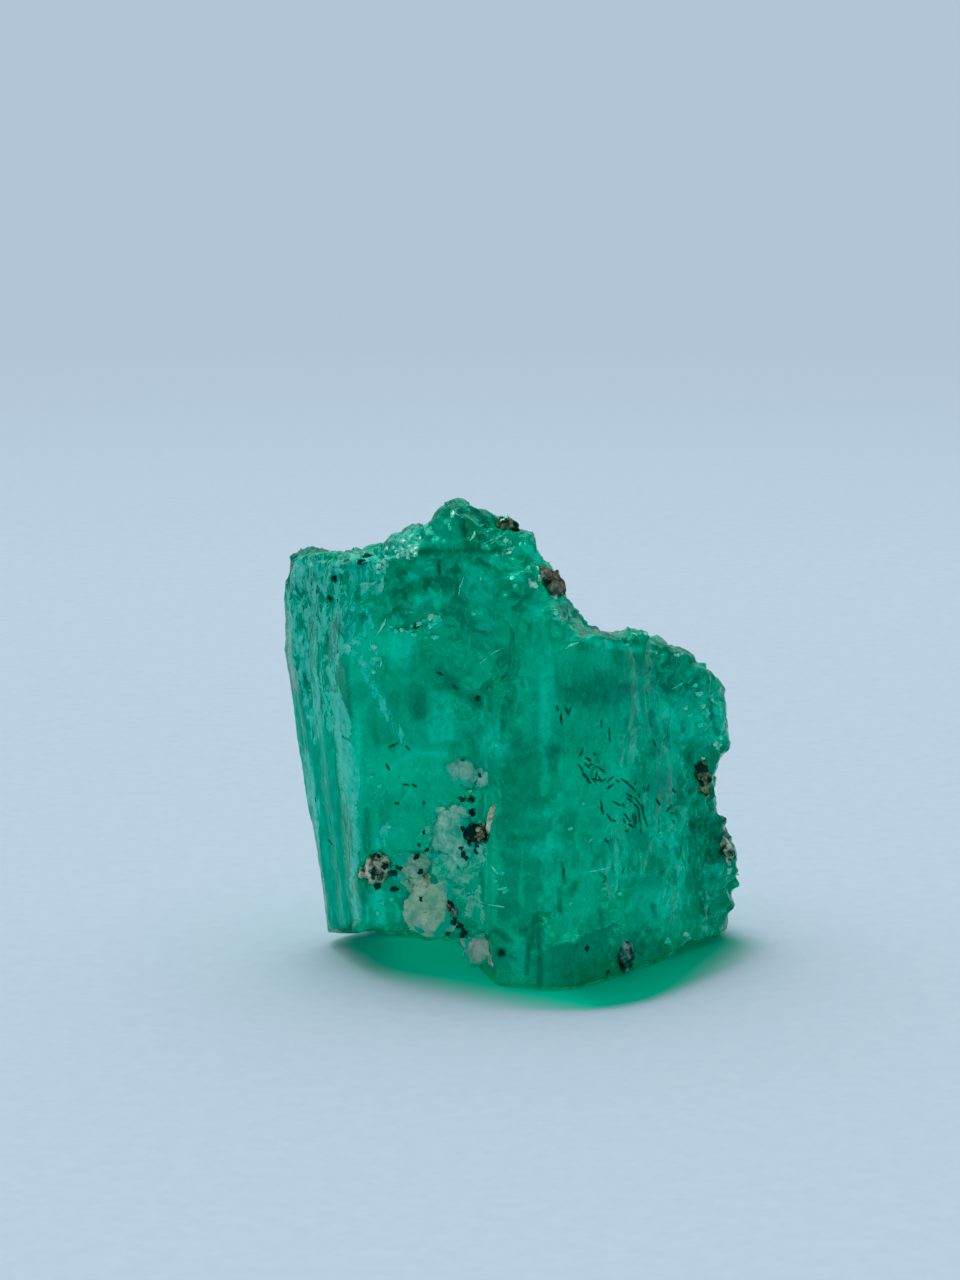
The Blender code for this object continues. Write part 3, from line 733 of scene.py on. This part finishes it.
def cloudy_green(n, p, light):
    """The crystal's colour: slow clouds, upright bands, chips, threads and flecks, with painted light,
    painted shade and painted highlights laid in.
    """
    body = n.mix(n.remap(p["slow"], 0.30, 0.70), DEEP, MID)
    body = n.mix(n.remap(p["veins"], 0.50, 0.72, 0.0, 0.34), body, BRIGHT)
    body = n.mix(n.remap(p["veins"], 0.44, 0.30, 0.0, 0.40), body, DEEP)
    body = n.mix(n.remap(p["upright"], 0.52, 0.75, 0.0, 0.30), body, DEEP)
    chips = n.chips(2.9, 0.65)
    chip_share = n.remap(n.layer("broken"), 0.1, 0.8, 0.10, 0.55)
    body = n.mix(n.times(n.remap(chips, 0.72, 0.80), chip_share), body, PALE_GREEN)
    body = n.mix(n.times(n.remap(chips, 0.34, 0.26), chip_share), body, MURK)
    # painted light from the light marks brightens the body
    body = n.mix(light, body, BRIGHT)
    threads = (
        (n.thread(1.7, 1.3, 0.022), n.remap(p["slow"], 0.36, 0.60, 0.25, 0.80), PALE_GREEN),
        (n.thread(3.1, 0.9, 0.026), n.remap(p["veins"], 0.42, 0.60, 0.0, 0.65), BRIGHT),
        (n.thread(2.4, 1.6, 0.018), n.remap(p["veins"], 0.60, 0.42, 0.0, 0.48), MURK),
    )
    for thread, share, colour in threads:
        body = n.mix(n.times(thread, share), body, colour)
    body = n.mix(n.remap(p["flecks"], 0.63, 0.72, 0.0, 0.55), body, PALE_GREEN)
    body = n.mix(n.remap(p["flecks"], 0.37, 0.28, 0.0, 0.30), body, MURK)
    # painted shade in creases and cracks, and dark spots, from the dark marks
    dark = n.times(n.layer("dark"), n.remap(p["fine"], 0.36, 0.60, 0.35, 0.85))
    body = n.mix(dark, body, MURK)
    # painted highlights on the pale facets and gleam lines
    painted_facet_gleam = n.times(n.layer("pale"), n.remap(p["fine"], 0.36, 0.54, 0.35, 0.95))
    return n.mix(painted_facet_gleam, body, PALE_GREEN)


def lay_films(n, p, body):
    """Milky films, the green strip and the frosted rim, partly a painted highlight, over the body, and how
    much they cover.
    """
    film = n.times(n.ragged("film", p["streaky"], 0.36, 0.74, 0.94), 0.85)
    band = n.times(n.ragged("band", p["streaky"], 0.60, 0.86, 0.98), 0.75)
    milky = n.times(n.math("MAXIMUM", film, band), n.remap(p["flecks"], 0.34, 0.58, 0.62, 1.0))
    strip = n.times(n.ragged("teal", p["upright"], 0.50, 0.56, 0.86), 0.85)
    body = n.mix(strip, body, n.mix(n.remap(p["streaky"], 0.40, 0.66), STRIP_DARK, STRIP_LIGHT))
    body = n.mix(milky, body, n.mix(n.remap(p["fine"], 0.44, 0.66), MILK, HAZE))
    # the frosted rim, partly a painted highlight on the top edges
    rim_share = n.remap(p["flecks"], 0.36, 0.60, 0.25, 1.0)
    rim = n.times(n.ragged("rim", p["fine"], 0.44, 0.82, 1.02), rim_share)
    body = n.mix(rim, body, n.mix(n.remap(p["flecks"], 0.42, 0.64), MINT, FROST_AND_GLINT))
    return body, n.math("MAXIMUM", n.math("MAXIMUM", milky, strip), n.times(rim, 0.9))


def lay_stains(n, p, body, cover):
    """Rock stains over the body, added to how much of it is covered."""
    for name, spread, share in STAINS:
        stain = n.times(n.ragged(name, p["fine"], spread, 0.72, 0.98), share)
        body = n.mix(stain, body, rock_colour(n, *ROCK_TINTS[name]))
        cover = n.math("MAXIMUM", cover, stain)
    return body, cover


def emerald_material():
    """Cloudy see-through green, close to opaque where films, rim and stains cover it."""
    n = Nodes("emerald")
    p = crystal_patterns(n)
    # painted light: the light marks, broken up by a fine pattern
    light = n.times(n.layer("light"), n.remap(p["fine"], 0.32, 0.56, 0.35, 1.0))
    body, cover = lay_films(n, p, cloudy_green(n, p, light))
    body, cover = lay_stains(n, p, body, cover)
    cloud = n.math("MAXIMUM", cover, n.times(light, 0.42))
    rough = n.math("ADD", n.remap(p["fine"], 0.30, 0.70, 0.06, 0.18), n.times(cover, 0.40), clamp=True)
    height = n.math("ADD", n.times(n.noise(2.6, 1.0, 0.4), 0.45), n.times(p["upright"], 0.12))
    height = n.math("ADD", height, n.times(n.times(p["fine"], cover), 0.5))
    faceted = n.facet_normal(3.4, n.remap(n.layer("broken"), 0.15, 0.8, 0.04, 0.42))
    n.principled(
        Base_Color=body, Roughness=rough, IOR=CRYSTAL_IOR, Specular_IOR_Level=SHINE,
        Transmission_Weight=n.remap(cloud, 0.0, 1.0, CLEAREST, CLOUDIEST),
        Normal=n.bump(height, 0.40, 0.03, faceted), Specular_Tint=SHINE_TINT,
    )
    volume = n.add("ShaderNodeVolumeAbsorption")
    volume.inputs["Color"].default_value = DEPTH_COLOUR
    volume.inputs["Density"].default_value = DEPTH_DENSITY
    n.tree.links.new(volume.outputs[0], n.output.inputs["Volume"])
    return n.material


# middle, dark and light colour of each kind of rock
ROCK_TINTS = {
    "sage": ((0.31, 0.80, 0.57, 1), (0.10, 0.56, 0.37, 1), (0.60, 0.96, 0.77, 1)),
    "cream": ((0.54, 0.78, 0.54, 1), (0.36, 0.62, 0.42, 1), (0.78, 0.88, 0.64, 1)),
    "tan": ((0.44, 0.66, 0.48, 1), (0.20, 0.42, 0.28, 1), (0.70, 0.78, 0.58, 1)),
    "pink": ((0.76, 0.73, 0.67, 1), (0.46, 0.53, 0.47, 1), (0.98, 0.87, 0.84, 1)),
    "grey": ((0.32, 0.74, 0.56, 1), (0.17, 0.48, 0.38, 1), (0.62, 0.84, 0.70, 1)),
    "brown": ((0.68, 0.68, 0.50, 1), (0.06, 0.06, 0.03, 1), (1.0, 1.0, 0.80, 1)),
    "dark": ((0.035, 0.028, 0.018, 1), (0.004, 0.006, 0.004, 1), (0.34, 0.19, 0.10, 1)),
    "gold": ((0.20, 0.20, 0.09, 1), (0.01, 0.03, 0.01, 1), (0.66, 0.58, 0.36, 1)),
    "umbrous": ((0.24, 0.17, 0.11, 1), (0.015, 0.012, 0.008, 1), (0.70, 0.56, 0.44, 1)),
    "ash": ((0.20, 0.30, 0.26, 1), (0.01, 0.03, 0.02, 1), (0.60, 0.72, 0.68, 1)),
    "umber": ((0.07, 0.26, 0.16, 1), (0.02, 0.12, 0.07, 1), (0.22, 0.46, 0.32, 1)),
    "soot": ((0.0, 0.055, 0.032, 1), (0.0, 0.012, 0.008, 1), (0.05, 0.15, 0.09, 1)),
    "amber": ((0.42, 0.27, 0.13, 1), (0.05, 0.03, 0.015, 1), (0.78, 0.56, 0.32, 1)),
    "shard": ((0.84, 0.88, 0.62, 1), (0.40, 0.38, 0.20, 1), (1.0, 1.0, 0.90, 1)),
}
CRUST_TINTS = ("sage", "cream", "tan", "pink", "grey")
GRAIN_TINTS = ("brown", "dark", "gold", "umbrous", "ash", "soot", "amber", "shard")
STAINED_GREEN = (0.03, 0.68, 0.43, 1.0)


def rock_material(name, thins_out=False):
    """Host rock; a crust thins out into stained green towards its border and in patches."""
    n = Nodes(("crust_" if thins_out else "rock_") + name)
    grit = n.noise(9.0, 4.0, 0.65)
    colour = rock_colour(n, *ROCK_TINTS[name])
    if thins_out:
        patch = n.noise(3.6, 8.0, 0.74, 1.2)
        depth = n.math("ADD", n.times(n.layer("inner"), 0.40), patch)
        colour = n.mix(n.remap(depth, 0.56, 0.98), STAINED_GREEN, colour)
    n.principled(
        Base_Color=colour, Roughness=n.remap(grit, 0.3, 0.7, 0.55, 0.95),
        Normal=n.bump(grit, 0.9, 0.05), Specular_IOR_Level=0.25,
    )
    return n.material


# small slivers and flecks: tint, shade, roughness, metallic, shine
SLIVER_LOOKS = {
    "dark_dash": ((0.0, 0.19, 0.11, 1), (0.0, 0.06, 0.03, 1), 0.6, 0.0, 0.1),
    # pale glassy edges, bright as painted glints
    "glinting_edge": ((0.46, 1.0, 0.86, 1), (0.12, 1.0, 0.74, 1), 0.24, 0.75, 1.0),
    # green and white flecks, bright as painted glints; the white ones partly frost
    "green_gleam": ((0.16, 1.0, 0.76, 1), (0.0, 0.96, 0.58, 1), 0.24, 0.35, 0.8),
    "white_frost_glint": ((0.58, 1.0, 0.80, 1), (0.22, 1.0, 0.72, 1), 0.24, 0.50, 1.0),
}


def sliver_material(name):
    tint, shade, roughness, metallic, shine = SLIVER_LOOKS[name]
    n = Nodes(name)
    grit = n.noise(6.0, 3.0, 0.6)
    n.principled(
        Base_Color=n.mix(n.remap(grit, 0.35, 0.65), shade, tint),
        Roughness=n.remap(grit, 0.3, 0.7, roughness, roughness + 0.2),
        Metallic=metallic, IOR=CRYSTAL_IOR, Normal=n.bump(grit, 0.5, 0.01), Specular_IOR_Level=shine,
    )
    return n.material


# green light on the floor, painted inside straight borders: direction, distance, softness
GLOW_BORDERS = (
    ((0.0, -1.0), 5.12, 0.24), ((0.486, -0.874), 5.28, 0.24), ((0.80, -0.60), 4.88, 0.26),
    ((0.945, -0.326), 4.70, 0.75), ((-0.64, -0.768), 3.40, 1.05), ((-0.30, 0.95), 1.60, 0.30),
    ((0.75, 0.66), 4.10, 0.50), ((-1.0, 0.0), 3.05, 0.90),
)
GLOW_COLOUR = (0.0, 0.42, 0.245, 1)
# painted light: inside the glow the floor gives off green light of its own, full on the left and this share
# of it on the right
LEFT_GLOW_BORDER = ((-0.90, -0.43), 0.55, 0.70)
LEFT_GLOW = (0.0, 0.165, 0.112, 1)
RIGHT_GLOW_SHARE = 0.35
# a painted shade that reaches a little past the green light
SHADE_REACH = 0.22
SHADE_SHARE = 0.55
SHADE_COLOUR = (0.16, 0.34, 0.38, 1)
# painted shade: the floor darkens slightly between these distances from the stone, in millimetres
FLOOR_FADE = (40.0, 120.0)
FAR_FLOOR_SHADE = (0.66, 0.70, 0.86, 1)
FLOOR_TINTS = (0.745, 0.80, 0.965, 1), (0.77, 0.825, 0.985, 1)
FLOOR_HALF_SIDE = 1.2


def floor_side(n, across, back, distance, softness):
    """1 on the near side of a straight soft border on the floor."""
    reach = n.add("ShaderNodeVectorMath", operation="DOT_PRODUCT")
    n.set(reach.inputs[0], n.scaled_place((1, 1, 1)))
    reach.inputs[1].default_value = (across, back, 0.0)
    return n.remap(reach.outputs["Value"], distance + softness, distance - softness)


def inside_borders(n, extra):
    """1 on the floor inside all the borders of the glow, which may reach out and soften by extra."""
    inside = 1.0
    for (across, back), distance, softness in GLOW_BORDERS:
        side = floor_side(n, across, back, distance + extra, softness + extra)
        inside = n.times(side, inside)
    return inside


def floor_material():
    n = Nodes("pale_floor")
    fibre = n.noise(2.2, 4.0, 0.6)
    colour = n.mix(n.remap(fibre, 0.35, 0.65), *FLOOR_TINTS)
    away = n.add("ShaderNodeVectorMath", operation="LENGTH")
    n.set(away.inputs[0], n.scaled_place((1, 1, 1)))
    # painted shade darkening the floor away from the stone
    colour = n.mix(n.remap(away.outputs["Value"], *FLOOR_FADE), colour, FAR_FLOOR_SHADE)
    colour = n.mix(n.times(inside_borders(n, SHADE_REACH), SHADE_SHARE), colour, SHADE_COLOUR)
    glow = inside_borders(n, 0.0)
    colour = n.mix(glow, colour, GLOW_COLOUR)
    # painted light: the floor's own green glow, full on the left and weaker on the right
    (across, back), distance, softness = LEFT_GLOW_BORDER
    share = n.remap(floor_side(n, across, back, distance, softness), 0.0, 1.0, 1.0, RIGHT_GLOW_SHARE)
    n.principled(
        Base_Color=colour, Roughness=0.9, Normal=n.bump(fibre, 0.25, 0.06),
        Emission_Color=LEFT_GLOW, Emission_Strength=n.times(glow, share),
    )
    return n.material


# ==== rock scraps ====
ROCK_CELL = 0.026
ROCK_SMOOTH_PASSES = 2
GRAIN_ROUGH = 0.060
CRUST_ROUGH = 0.030
CRUST_SWAY = 0.085
CRUST_THINNING = 0.60
CRUST_BORDER = 0.085
SPECK_SUNK = 0.35
OWN_TINTS = {"crust_sage_lower": "cream", "grain_brown_shoulder": "umbrous", "grain_grey_foot": "ash"}
SPECK_GAIN = 1.25
LIGHT_LEAN = Vector((-0.09, -0.55, 0.83))
# the size in millimetres of a pixel of the framing, at the stone's distance from the camera
STONE_AWAY = 88.0
PIXEL = STONE_AWAY / FOCAL
SLIVER_STEPS = 6


def roughen(piece, height):
    shape = bmesh.new()
    shape.from_mesh(piece.data)
    shape.normal_update()
    for vertex in shape.verts:
        point = vertex.co
        lumps = facets(point, 3.2, 0.7, 1.0) + 0.6 * noise.noise(point * 8.0)
        vertex.co += vertex.normal * height * max(-1.0, min(1.0, 1.6 * lumps))
    shape.to_mesh(piece.data)
    shape.free()


def thin_crust(piece, surface):
    """Press a crust flatter along its thin direction and note how deep inside it each point is."""
    points = [vertex.co for vertex in piece.data.vertices]
    middle = sum(points, Vector()) / len(points)
    _, normal, _, _ = surface.find_nearest(middle)
    inner = piece.data.attributes.new("inner", "FLOAT", "POINT")
    for vertex in piece.data.vertices:
        away = (vertex.co - middle).dot(normal)
        sway = noise.noise_vector(vertex.co * 3.4) + 0.5 * noise.noise_vector(vertex.co * 8.0)
        vertex.co += CRUST_SWAY * (sway - normal * sway.dot(normal))
        vertex.co -= normal * away * (1.0 - CRUST_THINNING)
        inner.data[vertex.index].value = smooth_step(0.0, CRUST_BORDER, abs(away))


def build_rocks(surface):
    """Each scrap of rock grown from its solid, with a ragged surface; crusts are pressed flat."""
    pieces = []
    for entry in frame["record"]["subparts"]:
        node, slot_name = entry["node"], entry["material_slot"]
        if node == "emerald_crystal":
            continue
        piece = copy_in_millimetres(node, node + "_rough")
        remesh(piece, ROCK_CELL)
        smooth(piece, ROCK_SMOOTH_PASSES)
        is_crust = node.startswith("crust")
        if is_crust:
            thin_crust(piece, surface)
        roughen(piece, CRUST_ROUGH if is_crust else GRAIN_ROUGH)
        tint = OWN_TINTS.get(node, slot_name)
        piece.data.materials.append((crust_materials if is_crust else rock_materials)[tint])
        settle_on_body(piece, slot_name, node)
        pieces.append(piece)
    return pieces


def joined_surface(pieces):
    """One surface, in millimetres, over several settled pieces."""
    corners, faces = [], []
    for piece in pieces:
        first = len(corners)
        corners.extend(vertex.co / MM for vertex in piece.data.vertices)
        faces.extend([first + index for index in polygon.vertices] for polygon in piece.data.polygons)
    return BVHTree.FromPolygons(corners, faces)


def add_grain(shape, place, normal, half_size, seed, flat, lean):
    """An angular grain sunk a little into the surface; a fleck leans towards the light."""
    normal = (normal + LIGHT_LEAN * lean).normalized()
    made = bmesh.ops.create_icosphere(shape, subdivisions=3, radius=1.0)["verts"]
    flat *= 1.0 + 0.3 * math.sin(seed * 1.7)
    turn = Vector((0.0, 0.0, 1.0)).rotation_difference(normal).to_matrix()
    for vertex in made:
        unit = vertex.co.copy()
        swing = 1.0 + 0.9 * noise.noise(unit * 1.9 + Vector((seed * 3.1, 0.0, 0.0)))
        swing += 0.35 * noise.noise(unit * 4.3 + Vector((0.0, seed * 3.1, 0.0)))
        local = Vector((unit.x * (1.0 + 0.4 * math.sin(seed)), unit.y, unit.z * flat)) * swing * half_size
        vertex.co = place - normal * half_size * SPECK_SUNK * flat + turn @ local


def add_sliver(shape, surface, start, end, half_width, height):
    """A thin pointed blade lying along the surface from one spot to another."""
    rings = []
    for i in range(SLIVER_STEPS + 1):
        t = i / SLIVER_STEPS
        found = surface.find_nearest(start.lerp(end, t))
        place, normal = found[0], found[1]
        side = (end - start).cross(normal).normalized()
        swell = math.sin(math.pi * t) ** 0.6 if 0 < i < SLIVER_STEPS else 0.0
        sway = side * half_width * 0.8 * noise.noise(place * 6.0)
        if swell == 0.0:
            rings.append([shape.verts.new(place + sway)])
            continue
        width = half_width * swell * (1.0 + 0.4 * noise.noise(place * 9.0))
        rings.append([
            shape.verts.new(place + sway + side * width),
            shape.verts.new(place + sway + normal * height * swell),
            shape.verts.new(place + sway - side * width),
            shape.verts.new(place + sway - normal * height * swell),
        ])
    for lower, upper in zip(rings, rings[1:]):
        for k in range(4):
            m = (k + 1) % 4
            corners = [lower[k % len(lower)], lower[m % len(lower)]]
            corners += [upper[m % len(upper)], upper[k % len(upper)]]
            shape.faces.new(list(dict.fromkeys(corners)))


def piece_from(shape, name, material, slot_name):
    bmesh.ops.recalc_face_normals(shape, faces=shape.faces)
    mesh_data = bpy.data.meshes.new(name)
    shape.to_mesh(mesh_data)
    shape.free()
    piece = add_piece(name, mesh_data)
    piece.data.materials.append(material)
    settle_on_body(piece, slot_name)
    return piece


def build_specks(surface, name, spots, material, slot_name, flat, lean=0.0):
    shape = bmesh.new()
    for index, (x, y, half) in enumerate(spots):
        seat = surface_under(surface, (x, y))
        if seat:
            add_grain(shape, *seat, half * SPECK_GAIN * PIXEL, index + 1, flat, lean)
    piece_from(shape, name, material, slot_name)


def build_slivers(surface, name, spots, material, slot_name, width):
    shape = bmesh.new()
    for spot in spots:
        start, end = surface_under(surface, spot[:2]), surface_under(surface, spot[2:4])
        if start and end:
            half_width = (spot[4] if len(spot) > 4 else width) * PIXEL / 2.0
            add_sliver(shape, surface, start[0], end[0], half_width, half_width * 0.5)
    piece_from(shape, name, material, slot_name)


# ==== setting ====
OVERHEAD = Vector((-0.10, 0.42, 0.90)).normalized()
SOFT_EDGE = (0.35, 0.80)
ROOM_LIGHT = 0.22
OVERHEAD_LIGHT = 0.92
LAMP = Vector((-0.12, 0.22, 0.968)).normalized()
LAMP_EDGE = (0.965, 0.985)
LAMP_LIGHT = 4.0
LIGHT_TINT = (0.80, 0.94, 0.94, 1.0)
RED_BLACK_LEVEL = 0.018


def set_picture_look():
    """Plain colours, with the faintest reds taken to black: a grade of the picture alone."""
    look = bpy.context.scene.view_settings
    look.view_transform = "Standard"
    look.use_curve_mapping = True
    look.curve_mapping.black_level = (RED_BLACK_LEVEL, 0.0, 0.0)
    look.curve_mapping.update()


def build_camera():
    data = bpy.data.cameras.new("camera")
    data.lens = CAMERA_LENS
    data.sensor_width = SENSOR
    data.clip_start = 0.002
    data.clip_end = 20.0
    camera = bpy.data.objects.new("camera", data)
    camera.location = CAMERA_PLACE * MM
    camera.rotation_euler = (math.radians(90.0) - CAMERA_PITCH, 0.0, 0.0)
    bpy.context.scene.collection.objects.link(camera)
    bpy.context.scene.camera = camera


def build_floor():
    shape = bmesh.new()
    bmesh.ops.create_grid(shape, x_segments=8, y_segments=8, size=FLOOR_HALF_SIDE)
    mesh_data = bpy.data.meshes.new("floor")
    shape.to_mesh(mesh_data)
    shape.free()
    floor = add_piece("floor", mesh_data)
    floor.data.materials.append(floor_material())


def light_from(tree, direction, edge, low, high):
    """Light level falling smoothly from a direction to the rest of the room."""
    coordinate = tree.nodes.new("ShaderNodeTexCoord")
    towards = tree.nodes.new("ShaderNodeVectorMath")
    towards.operation = "DOT_PRODUCT"
    towards.inputs[1].default_value = direction
    tree.links.new(coordinate.outputs["Generated"], towards.inputs[0])
    ramp = tree.nodes.new("ShaderNodeMapRange")
    ramp.interpolation_type = "SMOOTHSTEP"
    for index, value in zip((1, 2, 3, 4), (*edge, low, high)):
        ramp.inputs[index].default_value = value
    tree.links.new(towards.outputs["Value"], ramp.inputs[0])
    return ramp.outputs[0]


def build_lights():
    """One wide soft light overhead and a little behind, a smaller one in it, a dim room."""
    world = bpy.data.worlds.new("studio")
    world.use_nodes = True
    tree = world.node_tree
    total = tree.nodes.new("ShaderNodeMath")
    total.operation = "ADD"
    tree.links.new(light_from(tree, OVERHEAD, SOFT_EDGE, ROOM_LIGHT, OVERHEAD_LIGHT), total.inputs[0])
    tree.links.new(light_from(tree, LAMP, LAMP_EDGE, 0.0, LAMP_LIGHT), total.inputs[1])
    background = tree.nodes["Background"]
    background.inputs["Color"].default_value = LIGHT_TINT
    tree.links.new(total.outputs[0], background.inputs["Strength"])
    bpy.context.scene.world = world


set_picture_look()
noise.seed_set(NOISE_SEED)
build_camera()
build_floor()
build_lights()
crystal, crystal_surface = build_crystal()
crystal.data.materials.clear()
crystal.data.materials.append(emerald_material())
settle_on_body(crystal, "emerald", "emerald_crystal")
rock_materials = {name: rock_material(name) for name in GRAIN_TINTS}
crust_materials = {name: rock_material(name, True) for name in CRUST_TINTS}
rocks = build_rocks(crystal_surface)
whole_surface = joined_surface([crystal, *rocks])
build_specks(whole_surface, "dark_specks", SPECKS, rock_materials["soot"], "dark", 0.45)
build_specks(whole_surface, "brown_specks", BROWN_SPECKS, rock_materials["brown"], "brown", 0.70)
build_specks(whole_surface, "amber_specks", AMBER_SPECKS, rock_materials["amber"], "brown", 0.60)
build_slivers(crystal_surface, "dark_dashes", DASHES, sliver_material("dark_dash"), "dark", 2.6)
# pale glassy edges, bright as painted glints
build_slivers(whole_surface, "glinting_edges", GLINTS, sliver_material("glinting_edge"), "emerald", 2.0)
# flecks bright as painted glints
green_gleam = sliver_material("green_gleam")
build_specks(whole_surface, "green_flecks", GREEN_FLECKS, green_gleam, "emerald", 0.30, 0.8)
white_frost_glint = sliver_material("white_frost_glint")
build_specks(whole_surface, "white_flecks", WHITE_FLECKS, white_frost_glint, "emerald", 0.40, 1.5)
build_slivers(whole_surface, "tan_shard", TAN_SHARD, rock_materials["shard"], "tan", 6.0)
